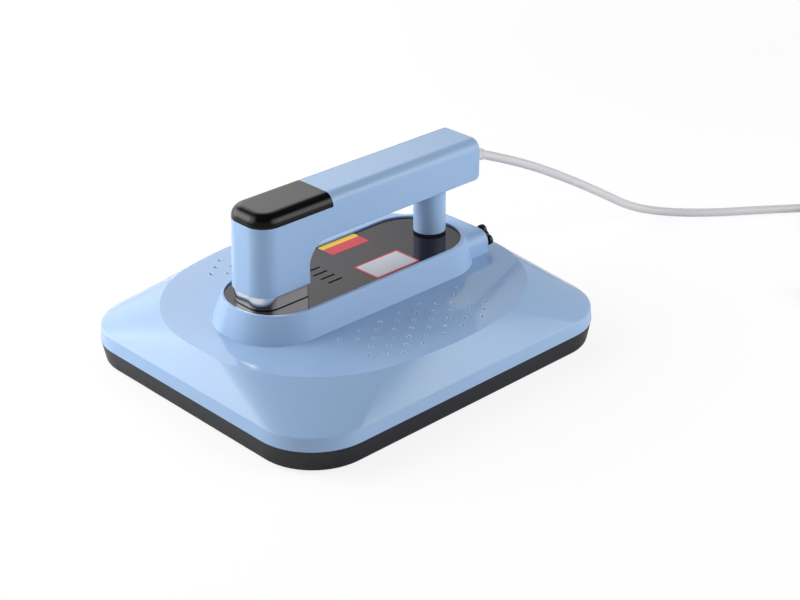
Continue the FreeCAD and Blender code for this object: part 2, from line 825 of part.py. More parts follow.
def base_skirt():
    skirt = body("base_skirt")
    top = sketch(skirt, "skirt_top", level=cover_base)
    block(top, cover_half_x, cover_half_y, s.cover_corner)
    pad(skirt, top, s.skirt_height, taper=-s.skirt_draft, down=True)
    fillet(skirt, lambda e: all_points(e, lambda p: near(p.z, s.plate_stand)), s.handle_edge)
    lean = math.tan(math.radians(s.skirt_draft.value))
    shrink = s.skirt_wall + s.skirt_height * lean
    room = sketch(skirt, "skirt_room", level=cover_base)
    block(room, cover_half_x - shrink, cover_half_y - shrink, s.cover_corner - shrink)
    pocket(skirt, room, s.skirt_height - s.skirt_floor)
    window = sketch(skirt, "plate_window", level=cover_base)
    gap = s.plate_gap
    block(window, s.plate_length / 2 + gap, s.plate_width / 2 + gap, s.plate_corner + gap)
    pocket(skirt, window)
    pillars = sketch(skirt, "pillars", level=s.plate_stand + s.skirt_floor)
    for x, y in PILLARS:
        circle(pillars, x, y, s.pillar_radius)
    pad(skirt, pillars, s.skirt_height - s.skirt_floor)
    holes = sketch(skirt, "pillar_holes", level=cover_base)
    for x, y in PILLARS:
        circle(holes, x, y, s.screw_radius + s.screw_clearance)
    pocket(skirt, holes)
    sinks = sketch(skirt, "screw_sinks", level=s.plate_stand)
    for x, y in PILLARS:
        circle(sinks, x, y, s.screw_head_radius + s.screw_clearance)
    pocket(skirt, sinks, s.screw_head_height + s.screw_clearance, up=True)


def top_cover():
    cover = body("top_cover")
    half_x, half_y = cover_half_x, cover_half_y
    inset = s.rim_height * math.tan(math.radians(s.rim_draft.value))
    rim = sketch(cover, "rim", level=cover_base)
    block(rim, half_x, half_y, s.cover_corner)
    pad(cover, rim, s.rim_height, taper=-s.rim_draft)
    eaves = sketch(cover, "eaves", level=rim_top)
    block(eaves, half_x - inset, half_y - inset, s.cover_corner - inset)
    crease = sketch(cover, "crease", level=plateau)
    plan = (s.plateau_side_radius, s.plateau_end_radius, s.plateau_corner_radius)
    oval(crease, plateau_middle, plateau_half_x, plateau_half_y, *plan)
    loft(cover, "Additive", [eaves, crease])
    fillet(cover, lambda e: all_points(e, lambda p: near(p.z, rim_top)), s.rim_round)

    wall = s.cover_wall
    room = sketch(cover, "rim_room", level=cover_base)
    block(room, half_x - inset - wall, half_y - inset - wall, s.cover_corner - inset - wall)
    pocket(cover, room, s.rim_height, up=True)
    room_eaves = sketch(cover, "room_eaves", level=rim_top)
    block(room_eaves, half_x - inset - wall, half_y - inset - wall, s.cover_corner - inset - wall)
    room_crease = sketch(cover, "room_crease", level=plateau_under)
    inner_plan = [size - 2 * wall for size in plan]
    room_half_x, room_half_y = plateau_half_x - 2 * wall, plateau_half_y - 2 * wall
    oval(room_crease, plateau_middle, room_half_x, room_half_y, *inner_plan)
    loft(cover, "Subtractive", [room_eaves, room_crease])

    foot = sketch(cover, "housing_foot", level=plateau)
    side = s.housing_half_width
    rectangle(foot, -s.housing_front, s.housing_rear, -side, side, s.housing_corner)
    brim = sketch(cover, "housing_brim", level=housing_top)
    side = s.housing_top_half_width
    rectangle(
        brim, -s.housing_top_front, s.housing_top_rear, -side, side, s.housing_top_corner,
    )
    loft(cover, "Additive", [foot, brim])
    fillet(cover, lambda e: all_points(e, lambda p: near(p.z, housing_top)), s.housing_round)
    brow = sketch(cover, "block_profile", "YZ", level=s.housing_rear - s.housing_corner)
    width = s.block_half_width
    outline(brow, [
        (-width, plateau_under), (width, plateau_under),
        (width, block_top, s.block_round), (-width, block_top, s.block_round),
    ])
    pad(cover, brow, s.block_rear - s.housing_rear + s.housing_corner)

    def rear_rim(edge):
        above = edge.BoundBox.ZMax > plateau.value + 1 and edge.BoundBox.ZMin > plateau.value - 1
        return above and all_points(edge, lambda p: near(p.x, s.block_rear))

    fillet(cover, rear_rim, s.block_edge)

    front = s.housing_top_front - s.housing_front_rim
    rear = s.housing_top_rear - s.housing_rear_rim
    side = s.housing_top_half_width - s.housing_rim
    corner = s.housing_top_corner - s.housing_rim
    recess = sketch(cover, "deck_recess", level=housing_top)
    rectangle(recess, -front, rear, -side, side, corner)
    pocket(cover, recess, s.deck_sink + s.deck_thickness)
    ledge = s.deck_ledge
    opening = sketch(cover, "housing_opening", level=deck_under)
    rectangle(opening, -front + ledge, rear - ledge, -side + ledge, side - ledge, corner - ledge)
    pocket(cover, opening, deck_under - plateau_under)

    bosses = sketch(cover, "cover_bosses", level=frame_top)
    for x, y in COVER_BOSSES:
        circle(bosses, x, y, s.cover_boss_radius)
    pad(cover, bosses, plateau_under - frame_top)
    taps = sketch(cover, "cover_taps", level=frame_top)
    for x, y in COVER_BOSSES:
        circle(taps, x, y, s.screw_radius)
    pocket(cover, taps, s.screw_bite, up=True)
    pillars = sketch(cover, "cover_pillars", level=cover_base)
    inner = s.pillar_radius + s.pillar_radius
    for x, y in four_ways(pillar_x, s.pillar_end_y):
        reach = half_x - inset - wall / 2
        low, high = (x - inner / 2, reach) if x.value > 0 else (-reach, x + inner / 2)
        rectangle(pillars, low, high, y - s.pillar_radius, y + s.pillar_radius)
    for x, y in four_ways(s.pillar_side_x, pillar_y):
        reach = half_y - inset - wall / 2
        low, high = (y - inner / 2, reach) if y.value > 0 else (-reach, y + inner / 2)
        rectangle(pillars, x - s.pillar_radius, x + s.pillar_radius, low, high)
    pad(cover, pillars, s.pillar_rise)
    pillar_taps = sketch(cover, "pillar_taps", level=cover_base)
    for x, y in PILLARS:
        circle(pillar_taps, x, y, s.screw_radius)
    pocket(cover, pillar_taps, s.pillar_rise - s.cover_wall, up=True)

    bore = sketch(cover, "insert_bore", "YZ", level=s.block_rear)
    circle(bore, s.knob_y, knob_level, s.insert_radius)
    pocket(cover, bore, s.insert_length)
    reach = s.stud_length - s.knob_gap + s.pad_length + s.deck_clearance
    relief = sketch(cover, "stud_relief", "YZ", level=s.block_rear)
    circle(relief, s.knob_y, knob_level, s.stud_radius + s.screw_clearance)
    pocket(cover, relief, reach)
    return cover


def perforate(cover):
    """A staggered lattice of round vents on both sides of the housing."""
    vents = sketch(cover, "vents", level=plateau)
    rows = [(0, 0), (1, 1), (2, 2), (3, 1), (4, 0), (5, 1), (6, 2)]
    middle = (s.housing_rear - s.housing_front) / 2
    for row, first in rows:
        y = s.vent_first_y + s.vent_pitch_y * (row / 2)
        for column in range(first, 13 - first, 2):
            x = middle + s.vent_pitch_x * ((column - 6) / 2)
            circle(vents, x, y, s.vent_radius)
            circle(vents, x, -y, s.vent_radius)
    pocket(cover, vents, s.cover_wall)


def deck_plate():
    deck = body("deck_plate")
    gap = s.deck_clearance
    front = s.housing_top_front - s.housing_front_rim - gap
    rear = s.housing_top_rear - s.housing_rear_rim - gap
    side = s.housing_top_half_width - s.housing_rim - gap
    corner = s.housing_top_corner - s.housing_rim - gap
    face = sketch(deck, "deck_face", level=deck_under)
    rectangle(face, -front, rear, -side, side, corner)
    pad(deck, face, s.deck_thickness)
    slots = sketch(deck, "slots", level=deck_top)
    for i in range(int(s.slot_count.value)):
        y = s.slot_first_y + s.slot_pitch * i
        half = s.slot_width / 2
        rectangle(slots, -s.slot_rear - s.slot_length, -s.slot_rear, y - half, y + half)
    pocket(deck, slots)
    window = sketch(deck, "bracket_window", level=deck_top)
    gap = s.bolt_clearance
    rectangle(
        window,
        -s.bracket_front - gap, -s.bracket_rear + gap,
        -s.bracket_half_width - gap, s.bracket_half_width + gap,
    )
    pocket(deck, window)
    hole = sketch(deck, "bolt_hole", level=deck_top)
    circle(hole, s.post_x, 0, s.bolt_radius + s.bolt_clearance)
    pocket(deck, hole)
    return deck


# ---------------------------------------------------------------- handle

def handle_form(part):
    """The outer form that handle shell and display cap share."""
    side = sketch(part, part.Name + "_side", "XZ")
    outline(side, [
        (-s.handle_front_low, collar_top),
        (-s.column_rear, collar_top),
        (-s.column_rear, bar_under, s.crook_radius),
        (s.bar_rear, bar_under, s.heel_radius),
        (s.bar_rear, bar_top),
        (-s.handle_front_high, bar_top),
    ])
    pad(part, side, 2 * s.handle_half_width, midplane=True)

    def nose(edge):
        tall = edge.BoundBox.ZLength > 0.8 * (bar_top - collar_top).value
        return tall and edge.BoundBox.XMax < -s.column_rear.value - 1

    fillet(part, nose, s.nose_radius)

    def top_side(edge):
        return all_points(edge, lambda p: near(p.z, bar_top) and near(abs(p.y), s.handle_half_width))

    fillet(part, top_side, s.handle_top_round)

    def under_side(edge):
        return all_points(edge, lambda p: near(p.z, bar_under) and near(abs(p.y), s.handle_half_width))

    fillet(part, under_side, s.handle_edge)


def handle_shell():
    shell = body("handle_shell")
    handle_form(shell)
    fillet(shell, lambda e: all_points(e, lambda p: near(p.z, collar_top)), s.column_foot_round)
    far = s.bar_rear + s.handle_half_width
    seat = sketch(shell, "cap_seat", "XZ")
    rectangle(seat, -far, -s.cap_rear, cap_base, bar_top + s.cap_depth)
    pocket(shell, seat, 4 * s.handle_half_width, midplane=True)

    column = sketch(shell, "column_room", level=collar_top)
    front = s.handle_front_high - s.handle_wall
    rear = s.column_rear + s.handle_wall
    inner = s.nose_radius - s.handle_wall
    outline(column, [
        (-front, -column_inner_half, inner), (-rear, -column_inner_half),
        (-rear, column_inner_half), (-front, column_inner_half, inner),
    ])
    pocket(shell, column, bar_top - collar_top, up=True)
    bar = sketch(shell, "bar_room", "XZ")
    rectangle(bar, -rear, s.bar_rear - s.handle_wall, bar_floor, bar_top - s.bar_ceiling)
    pocket(shell, bar, 2 * column_inner_half, midplane=True)
    hatch = sketch(shell, "underside_hatch", level=bar_floor)
    gap = s.underside_gap
    rectangle(
        hatch,
        -s.underside_front - gap, s.underside_rear + gap,
        -s.underside_half_width - gap, s.underside_half_width + gap,
        s.underside_corner + gap,
    )
    pocket(shell, hatch, s.handle_wall)

    rib = sketch(shell, "column_rib", level=s.column_rib_height)
    reach = s.handle_wall / 2
    rectangle(
        rib, -front - reach, -rear + reach, -column_inner_half - reach, column_inner_half + reach,
        s.nose_radius - s.handle_wall / 2,
    )
    circle(rib, -(front + rear) / 2, 0, s.wire_way_radius)
    pad(shell, rib, s.column_rib)
    taps = sketch(shell, "rib_holes", level=s.column_rib_height)
    for x, y in RIB_SCREWS:
        circle(taps, x, y, s.screw_radius + s.screw_clearance)
    pocket(shell, taps, s.column_rib, up=True)
    bosses = sketch(shell, "underside_bosses", level=bar_under + s.underside_wall)
    for x, y in UNDERSIDE_SCREWS:
        circle(bosses, x, y, s.screw_head_radius)
    pad(shell, bosses, s.bar_height - s.underside_wall - s.bar_ceiling)
    boss_taps = sketch(shell, "boss_bores", level=bar_under)
    for x, y in UNDERSIDE_SCREWS:
        circle(boss_taps, x, y, s.screw_radius)
    pocket(shell, boss_taps, s.screw_bite + s.underside_wall, up=True)
    exit_hole = sketch(shell, "cord_exit", "YZ", level=s.bar_rear)
    circle(exit_hole, 0, boot_level, s.boot_neck_radius)
    pocket(shell, exit_hole, s.handle_wall)
    return shell


def handle_underside():
    plate = body("handle_underside")
    face = sketch(plate, "underside_face", level=bar_under)
    rectangle(
        face, -s.underside_front, s.underside_rear,
        -s.underside_half_width, s.underside_half_width, s.underside_corner,
    )
    circle(face, s.post_x, 0, s.bolt_radius + s.bolt_clearance)
    for x, y in UNDERSIDE_SCREWS:
        circle(face, x, y, s.screw_radius + s.screw_clearance)
    pad(plate, face, s.underside_wall)
    sinks = sketch(plate, "underside_sinks", level=bar_under)
    for x, y in UNDERSIDE_SCREWS:
        circle(sinks, x, y, s.screw_head_radius + s.screw_clearance)
    pocket(plate, sinks, s.screw_head_height, up=True)


def display_cap():
    cap = body("display_cap")
    handle_form(cap)
    far = s.bar_rear + s.handle_half_width
    rest = sketch(cap, "below_cap", "XZ")
    high = bar_top + s.cap_depth
    outline(rest, [
        (-far, collar_top - s.cap_depth), (far, collar_top - s.cap_depth), (far, high),
        (-s.cap_rear - s.cap_seam, high), (-s.cap_rear - s.cap_seam, cap_base), (-far, cap_base),
    ])
    pocket(cap, rest, 4 * s.handle_half_width, midplane=True)
    room = sketch(cap, "cap_room", level=cap_base)
    front = s.handle_front_high - s.handle_wall * 2
    inner = s.nose_radius - s.handle_wall * 2
    rear = s.cap_rear + s.cap_seam + s.handle_wall
    outline(room, [
        (-front, -s.cap_half_room, inner), (-rear, -s.cap_half_room),
        (-rear, s.cap_half_room), (-front, s.cap_half_room, inner),
    ])
    pocket(cap, room, s.cap_depth - s.cap_ceiling, up=True)
    posts = sketch(cap, "board_posts", level=display_board_top)
    for x, y in DISPLAY_POSTS:
        circle(posts, x, y, s.display_post_radius)
    pad(cap, posts, bar_top - s.cap_ceiling - display_board_top)


def collar_ring():
    collar = body("collar_ring")
    face = sketch(collar, "collar_face", level=deck_top)
    inset = s.collar_inset
    for grow in (0 * inset, s.collar_wall):
        corner = s.nose_radius - inset - grow
        rear = s.handle_edge + grow
        half = s.handle_half_width - inset - grow
        front = s.handle_front_low - inset - grow
        back = s.column_rear + inset + grow
        outline(face, [
            (-front, -half, corner), (-back, -half, rear), (-back, half, rear), (-front, half, corner),
        ])
    pad(collar, face, s.collar_height)


def rear_post():
    """A tube with a web at each end for the tie bolt, turned about its own axis."""
    post = body("rear_post")
    half_view = sketch(post, "post_half", "XZ")
    outer, inner = s.post_radius, s.post_radius - s.post_wall
    hole = s.bolt_radius + s.bolt_clearance
    low, high = post_foot, bar_under
    x, web = s.post_x, s.post_web
    outline(half_view, [
        (x + hole, low), (x + outer, low), (x + outer, high), (x + hole, high),
        (x + hole, high - web), (x + inner, high - web),
        (x + inner, low + web), (x + hole, low + web),
    ])
    axis = view_line(half_view, Vector(x.value, low.value, 0), Vector(x.value, high.value, 0))
    half_view.toggleConstruction(axis)
    place(half_view, axis, 1, x, low)
    place(half_view, axis, 2, x, high)
    turn = post.newObject("PartDesign::Revolution", "post_turn")
    turn.Profile = half_view
    turn.ReferenceAxis = (half_view, ["Axis0"])
    turn.Angle = 360


def post_seat():
    """A soft ring on the deck that the post stands on."""
    radius, height = s.post_radius - s.post_seat_inset, s.post_seat_height
    blank = cylinder("seat_blank", radius, height, s.post_x, 0, deck_top)
    hole = s.bolt_radius + s.bolt_clearance
    drill = cylinder("seat_drill", hole, height, s.post_x, 0, deck_top)
    cut("post_seat", blank, drill)


def tie_bolt():
    """A bolt from under the frame through the post, with its washer and nut in the bar."""
    seat = bar_under + s.underside_wall
    washer_top = seat + s.washer_height
    low = s.frame_level - s.screw_head_height
    length = washer_top + s.nut_height + 1 - low
    x = s.post_x
    shank = cylinder("bolt_shank", s.bolt_radius, length, x, 0, low)
    head = cylinder("bolt_head", s.nut_radius, s.screw_head_height, x, 0, low)
    group("tie_bolt", [shank, head])
    washer = cylinder("washer_disc", s.washer_radius, s.washer_height, x, 0, seat)
    nut = cylinder("nut_blank", s.nut_radius, s.nut_height, x, 0, washer_top)
    pair = doc.addObject("Part::MultiFuse", "nut_and_washer_blank")
    pair.Shapes = [washer, nut]
    drill = cylinder("nut_drill", s.bolt_radius, s.washer_height + s.nut_height, x, 0, seat)
    cut("lock_nut", pair, drill)


def column_bracket():
    """A folded steel saddle from the frame up to the column's rib."""
    bracket = body("column_bracket")
    side = sketch(bracket, "bracket_end", "YZ", level=-s.bracket_front)
    half, sheet_t, foot = s.bracket_half_width, s.bracket_sheet, s.bracket_foot
    low, high = frame_top, s.column_rib_height
    outline(side, [
        (-half - foot, low), (-half, low), (-half + sheet_t, low), (-half + sheet_t, high - sheet_t),
        (half - sheet_t, high - sheet_t), (half - sheet_t, low), (half, low), (half + foot, low),
        (half + foot, low + sheet_t), (half, low + sheet_t), (half, high), (-half, high),
        (-half, low + sheet_t), (-half - foot, low + sheet_t),
    ])
    pad(bracket, side, s.bracket_front - s.bracket_rear)
    holes = sketch(bracket, "bracket_holes", level=s.column_rib_height)
    for x, y in RIB_SCREWS:
        circle(holes, x, y, s.screw_radius)
    circle(holes, -rib_middle, 0, s.wire_way_radius - s.screw_clearance)
    pocket(bracket, holes, s.bracket_sheet)
    feet = sketch(bracket, "foot_holes", level=frame_top + s.bracket_sheet)
    for x, y in FOOT_SCREWS:
        circle(feet, x, y, s.screw_radius)
    pocket(bracket, feet, s.bracket_sheet)


# ---------------------------------------------------------------- electronics

def display():
    level = cap_base + s.display_board_rise
    board = body("display_board")
    face = sketch(board, "display_board_face", level=level)
    front, rear, width = s.display_board_front, s.display_board_rear, s.display_board_half_width
    corner = s.nose_radius - 2 * s.handle_wall
    outline(face, [(-front, -width, corner), (-rear, -width), (-rear, width), (-front, width, corner)])
    pad(board, face, s.board_thickness)
    top = display_board_top
    half = s.display_half_length
    screen = box(
        "display_block",
        -display_middle - half, -display_middle + half,
        -s.display_half_width, s.display_half_width, top, top + s.display_height,
    )
    group("display_module", [screen])
    keys = []
    reach = half + s.key_radius + s.display_post_radius
    for i, x in enumerate((-display_middle - reach, -display_middle + reach)):
        for j, y in enumerate((-s.display_half_width, s.display_half_width)):
            keys.append(cylinder(f"key{i}{j}", s.key_radius, s.display_height, x, y, top))
    group("touch_key_springs", keys)


def control_board():
    level = bar_floor + s.control_board_rise
    board = body("control_board")
    face = sketch(board, "control_board_face", level=level)
    rectangle(
        face, -s.control_board_front, s.control_board_rear,
        -s.control_board_half_width, s.control_board_half_width, s.bracket_sheet,
    )
    pad(board, face, s.board_thickness)
    posts = sketch(board, "control_board_feet", level=level)
    reach = s.control_board_half_width - s.key_radius
    for x in (s.key_radius - s.control_board_front, s.control_board_rear - s.key_radius):
        for y in (-reach, reach):
            circle(posts, x, y, s.terminal_radius)
    pad(board, posts, level - bar_under - s.underside_wall, down=True)
    top = level + s.board_thickness
    width = s.control_board_half_width
    high = top + s.insert_length
    relay = box("relay_block", 0, width, -width + 2, 0, top, high)
    group("relay", [relay])
    core = box("transformer_core", width + 6, 2 * width + 10, -width / 2, width / 2, top, high + 2)
    group("power_module", [core])
    x = s.control_board_rear - s.nut_radius - s.terminal_radius
    pieces = []
    for i, y in enumerate((-width / 2, width / 2)):
        pieces.append(cylinder(f"capacitor{i}", s.nut_radius - 1, s.insert_length, x, y, top))
    group("capacitors", pieces)
    buzzer = cylinder("buzzer_can", s.nut_radius, s.cutoff_height, -s.control_board_front / 2, width / 2, top)
    group("buzzer", [buzzer])


def wiring():
    """Two leads from the element's terminals and one from the sensor, up to the control board."""
    radius = s.wire_radius.value
    x = -rib_middle.value
    tab = s.plate_depth.value + s.terminal_height.value + s.sensor_height.value / 2
    board = (bar_floor + s.control_board_rise + s.board_thickness / 2).value
    edge = -s.control_board_front.value
    step = s.sensor_spread.value
    leads = []
    for side in (-1, 0, 1):
        y = side * 3 * radius
        if side:
            tabs = -s.element_half_x.value + s.terminal_radius.value
            across = side * terminal_y.value
            foot = [(tabs, across, tab), (tabs + 3, across, tab), (tabs + step, 1.5 * y, tab + step)]
        else:
            foot = [(x - step, 0, (s.plate_depth + s.sensor_height).value), (x - step, 0, tab)]
        route = foot + [(x, y, tab + 3 * step), (x, y, board), (edge, y, board)]
        leads.append(swept_tube(route, radius)[0])
    shape_node("wiring", Part.makeCompound(leads))


# ---------------------------------------------------------------- knob

def rear_knob():
    """A lobed hand knob: a hub with round lobes about the X axis, in one piece with its stud."""
    knob = body("rear_knob")
    face = sketch(knob, "knob_hub", "YZ", level=s.block_rear + s.knob_gap)
    circle(face, s.knob_y, knob_level, s.knob_radius)
    pad(knob, face, s.knob_depth)
    count = int(s.knob_lobes.value)
    for i in range(count):
        angle = math.radians(s.knob_turned.value) + 2 * math.pi * i / count
        lobe = sketch(knob, f"knob_lobe{i}", "YZ", level=s.block_rear + s.knob_gap)
        y = s.knob_y + s.knob_lobe_reach * math.cos(angle)
        z = knob_level + s.knob_lobe_reach * math.sin(angle)
        circle(lobe, y, z, s.knob_lobe_radius)
        pad(knob, lobe, s.knob_depth)


def knob_stud():
    front = s.block_rear + s.knob_gap - s.stud_length
    radius = s.stud_radius - s.thread_clearance
    rod = cylinder("stud_rod", radius, s.stud_length, front, s.knob_y, knob_level, "X")
    group("knob_stud", [rod])


def thread_insert():
    front = s.block_rear - s.insert_length
    length, y, z = s.insert_length, s.knob_y, knob_level
    blank = cylinder("insert_blank", s.insert_radius, length, front, y, z, "X")
    drill = cylinder("insert_drill", s.stud_radius, length, front, y, z, "X")
    cut("thread_insert", blank, drill)


def pressure_pad():
    front = s.block_rear + s.knob_gap - s.stud_length - s.pad_length
    length = s.pad_length - s.deck_clearance
    disc = cylinder("pad_disc", s.pad_radius, length, front, s.knob_y, knob_level, "X")
    group("pressure_pad", [disc])


# ---------------------------------------------------------------- cord

def rounded_path(points):
    """Straight runs joined by tangent arcs, each as large as its two runs allow."""
    spots = [Vector(*point) for point in points]
    edges = []
    radii = []
    start = spots[0]
    for before, corner, after in zip(spots, spots[1:], spots[2:]):
        arriving = (corner - before).normalize()
        leaving = (after - corner).normalize()
        turn = arriving.getAngle(leaving)
        trim = 0.45 * min((corner - before).Length, (after - corner).Length)
        radii.append(trim / math.tan(turn / 2))
        first = corner - arriving * trim
        last = corner + leaving * trim
        inward = (leaving - arriving).normalize()
        sagitta = radii[-1] / math.cos(turn / 2) - radii[-1]
        edges.append(Part.LineSegment(start, first).toShape())
        edges.append(Part.Arc(first, corner + inward * sagitta, last).toShape())
        start = last
    edges.append(Part.LineSegment(start, spots[-1]).toShape())
    return Part.Wire(edges), radii


def swept_tube(points, radius):
    """A solid round tube along a rounded path, with the path and its bend radii."""
    path, radii = rounded_path(points)
    heading = Vector(*points[1]) - Vector(*points[0])
    section = Part.Wire(Part.Circle(Vector(*points[0]), heading, radius).toShape())
    return path.makePipeShell([section], True, False), path, radii


def boot_end():
    """Centre and heading of the strain relief's tip."""
    length, bend = s.boot_length.value, math.radians(s.boot_drop_angle.value)
    x = s.bar_rear.value + length / bend * math.sin(bend)
    z = boot_level.value - length / bend * (1 - math.cos(bend))
    return Vector(x, 0, z), Vector(math.cos(bend), 0, -math.sin(bend))


def cord_route():
    """Centreline from the strain relief's tip down to the floor and on to the coil."""
    tip, heading = boot_end()
    first = tip + heading * 26
    lying = s.cord_radius.value
    coil = Vector(s.coil_x.value, s.coil_y.value, lying)
    arrival = Vector(0.795, -0.607, 0).normalize()
    lane = (s.coil_mean_radius + s.coil_half_band - s.cord_radius).value
    touch = coil + Vector(-arrival.y, arrival.x, 0) * lane
    return [
        tuple(tip),
        tuple(first),
        (236.0, 0.0, 100.6),
        (288.7, 0.0, 71.4),
        (340.0, 0.0, 40.8),
        (384.0, -1.0, 13.0),
        (416.0, -22.0, lying),
        (448.0, -54.5, lying),
        (484.0, -80.5, lying),
        tuple(touch - arrival * 48),
        tuple(touch - arrival * 26),
    ]


def cord():
    route = cord_route()
    radius = s.cord_radius.value
    tube, path, radii = swept_tube(route, radius)
    expected = math.pi * radius ** 2 * path.Length
    print("cord bend radii", [round(value) for value in radii])
    print("cord length", round(path.Length, 1), "volume ratio", round(tube.Volume / expected, 4))
    shape_node("cord", tube)


def cord_end():
    """The short stretch that leaves the coil's upper turn and runs to the plug."""
    radius = s.cord_radius.value
    upper = (s.coil_height - s.cord_radius).value
    lane = (s.coil_mean_radius + s.coil_half_band - 2 * s.cord_radius).value
    x, y = s.coil_x.value, s.coil_y.value - lane
    plug_z = (s.plug_height / 2).value
    tail = s.plug_x.value + (s.plug_length / 2 + s.plug_tail).value
    span = x - 34 - tail
    route = [
        (x - 34, y, upper),
        (x - 34 - 0.3 * span, y - 1.5, upper - 2.5),
        (tail + 0.3 * span, s.plug_y.value + 1.5, plug_z - 2.5),
        (tail, s.plug_y.value, plug_z),
    ]
    tube, path, radii = swept_tube(route, radius)
    expected = math.pi * radius ** 2 * path.Length
    print("cord end bend radii", [round(value) for value in radii])
    print("cord end length", round(path.Length, 1), "volume ratio", round(tube.Volume / expected, 4))
    shape_node("cord_end", tube)


def strain_relief():
    """A tapered, ribbed boot that bends down from the bar's rear face."""
    steps = 9
    bend = math.radians(s.boot_drop_angle.value)
    curve = s.boot_length.value / bend
    root = Vector(s.bar_rear.value, 0, boot_level.value)
    slim = s.cord_radius.value + 0.9
    wires = []
    for i in range(steps + 1):
        angle = bend * i / steps
        taper = s.boot_root_radius.value + (slim - s.boot_root_radius.value) * i / steps
        rib = taper - (0.7 if i % 2 else 0)
        middle = root + Vector(curve * math.sin(angle), 0, -curve * (1 - math.cos(angle)))
        heading = Vector(math.cos(angle), 0, -math.sin(angle))
        wires.append(Part.Wire(Part.Circle(middle, heading, rib).toShape()))
    boot = Part.makeLoft(wires, True, True)
    wall = s.handle_wall.value
    along = Vector(1, 0, 0)
    neck = Part.makeCylinder(s.boot_neck_radius.value, wall, root - along * wall, along)
    flange = Part.makeCylinder(s.boot_root_radius.value, wall, root - along * 2 * wall, along)
    shape_node("strain_relief", boot.fuse([neck, flange]).removeSplitter())


def cord_coil():
    """The put-away turns of the cord as one ring of rounded section, lying on the floor."""
    coil = body("cord_coil")
    coil.setExpression("Placement.Base.x", s.coil_x.text)
    coil.setExpression("Placement.Base.y", s.coil_y.text)
    half_view = sketch(coil, "coil_half", "XZ")
    low, high = s.coil_mean_radius - s.coil_half_band, s.coil_mean_radius + s.coil_half_band
    rectangle(half_view, low, high, 0, s.coil_height, s.cord_radius - 0.2)
    axis = view_line(half_view, Vector(0, 0, 0), Vector(0, s.coil_height.value, 0))
    half_view.toggleConstruction(axis)
    place(half_view, axis, 1, 0, 0)
    place(half_view, axis, 2, 0, s.coil_height)
    turn = coil.newObject("PartDesign::Revolution", "coil_turn")
    turn.Profile = half_view
    turn.ReferenceAxis = (half_view, ["Axis0"])
    turn.Angle = 360


def plug():
    """A moulded plug with two blades and an earth pin, lying beside the coil."""
    moulding = body("plug_body")
    moulding.setExpression("Placement.Base.x", s.plug_x.text)
    moulding.setExpression("Placement.Base.y", s.plug_y.text)
    face = sketch(moulding, "plug_plan")
    half_x, half_y = s.plug_length / 2, s.plug_width / 2
    block(face, half_x, half_y, s.cord_radius)
    pad(moulding, face, s.plug_height)
    fillet(moulding, lambda e: all_points(e, lambda p: near(p.z, s.plug_height)), s.cord_radius - 1)
    tail = sketch(moulding, "plug_tail_face", "YZ", level=half_x)
    circle(tail, 0, s.plug_height / 2, s.cord_radius + 2)
    pad(moulding, tail, s.plug_tail, taper=-s.plug_taper)
    blades = []
    front = s.plug_x - half_x - s.blade_length
    middle = s.plug_height / 2
    for i, side in enumerate((-1, 1)):
        y = s.plug_y + side * s.nut_radius
        half = s.blade_sheet / 2
        rear = s.plug_x - half_x
        blades.append(box(f"blade{i}", front, rear, y - half, y + half, middle - 2, middle + 4))
    low = middle - s.nut_radius
    blades.append(cylinder("earth_pin", s.terminal_radius, s.blade_length, front, s.plug_y, low, "X"))
    group("plug_pins", blades)


# ---------------------------------------------------------------- build

heating_plate()
heating_element()
element_terminals()
insulation()
standoffs()
sensors()
mounting_frame()
base_skirt()
cover = top_cover()
perforate(cover)
deck_plate()
handle_shell()
handle_underside()
display_cap()
collar_ring()
rear_post()
post_seat()
tie_bolt()
column_bracket()
display()
control_board()
wiring()
rear_knob()
knob_stud()
thread_insert()
pressure_pad()
strain_relief()
cord()
cord_end()
cord_coil()
plug()
screws(
    "skirt_screws", PILLARS, s.plate_stand + s.screw_clearance,
    s.skirt_height + s.pillar_rise - 2 * s.cover_wall,
)
screws(
    "plate_screws", PLATE_BOSSES, frame_top + s.screw_head_height,
    frame_top + s.screw_head_height - boss_top + s.screw_bite - s.screw_radius / 2, up=False,
)
screws("cover_screws", COVER_BOSSES, s.frame_level - s.screw_head_height, s.screw_bite)
screws(
    "bracket_foot_screws", FOOT_SCREWS, s.frame_level - s.screw_head_height,
    s.screw_head_height + s.frame_sheet + 2 * s.bracket_sheet,
)
screws(
    "column_screws", RIB_SCREWS, s.column_rib_height + s.column_rib + s.screw_head_height,
    s.screw_head_height + s.column_rib + 2 * s.bracket_sheet, up=False,
)
screws("underside_screws", UNDERSIDE_SCREWS, bar_under, s.screw_bite)

doc.recompute()


def export_all():
    """Checks every object, then writes one STEP file per node."""
    for thing in doc.Objects:
        if "Invalid" in thing.State or "Error" in thing.State:
            raise RuntimeError(f"{thing.Name} failed: {thing.State}")
    for node in NODES:
        if node.Shape.isNull() or not node.Shape.isValid():
            raise RuntimeError(f"{node.Label} has no valid shape")
    os.makedirs("parts", exist_ok=True)
    for node in NODES:
        solids = node.Shape.Solids
        box_of = node.Shape.BoundBox
        print(
            f"{node.Label:22s} solids {len(solids):3d} volume {node.Shape.Volume / 1000:9.2f} cm3",
            f"x {box_of.XMin:7.1f} {box_of.XMax:7.1f} y {box_of.YMin:7.1f} {box_of.YMax:7.1f}",
            f"z {box_of.ZMin:6.1f} {box_of.ZMax:6.1f}",
        )
        node.Shape.exportStep(f"parts/{node.Label}.step")


export_all()
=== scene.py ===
import json
import math

import bmesh
import bpy
from mathutils import Matrix, Vector


